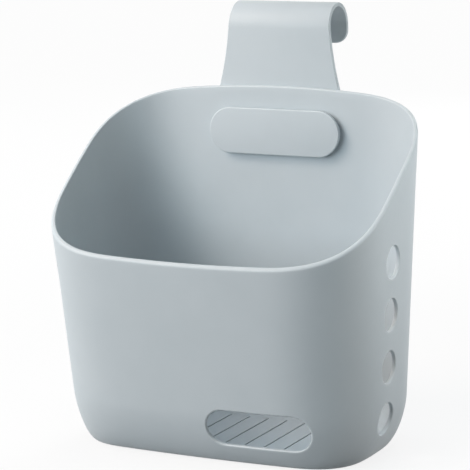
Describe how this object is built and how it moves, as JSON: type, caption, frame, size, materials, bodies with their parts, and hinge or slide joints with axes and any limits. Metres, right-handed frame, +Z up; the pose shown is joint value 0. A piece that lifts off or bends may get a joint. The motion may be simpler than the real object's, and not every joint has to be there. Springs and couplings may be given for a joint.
{
  "type": "hanging storage basket",
  "caption": "Moulded storage tub with a sloping mouth, side vents and a low front window, hung by a wide over-door hook strap that a plate locks inside the back wall.",
  "frame": {"origin": "middle of the whole outline's width and depth, at the level of the foot ring", "axes": "+Z up to the hook, +Y to the back where the hook hangs, +X to the right wall with the vents, seen from the front"},
  "size_m": [0.2458, 0.1906, 0.2995],
  "materials": {
    "tub_plastic": "pale blue-grey, fine satin grain",
    "hook_plastic": "pale blue-grey, fine satin grain",
    "lock_plastic": "pale blue-grey, fine satin grain"
  },
  "bodies": {
    "tub": {"basket_tub": "tub_plastic"},
    "hook": {"hook_strap": "hook_plastic"},
    "lock": {"lock_plate": "lock_plastic"}
  },
  "joints": [
    {"name": "lock_pull", "type": "slide", "parent": "tub", "child": "lock", "axis": [0, -1, 0], "range_m": [0, 0.012]},
    {"name": "hook_draw", "type": "slide", "parent": "tub", "child": "hook", "axis": [0, 1, 0], "range_m": [0, 0.012]}
  ]
}
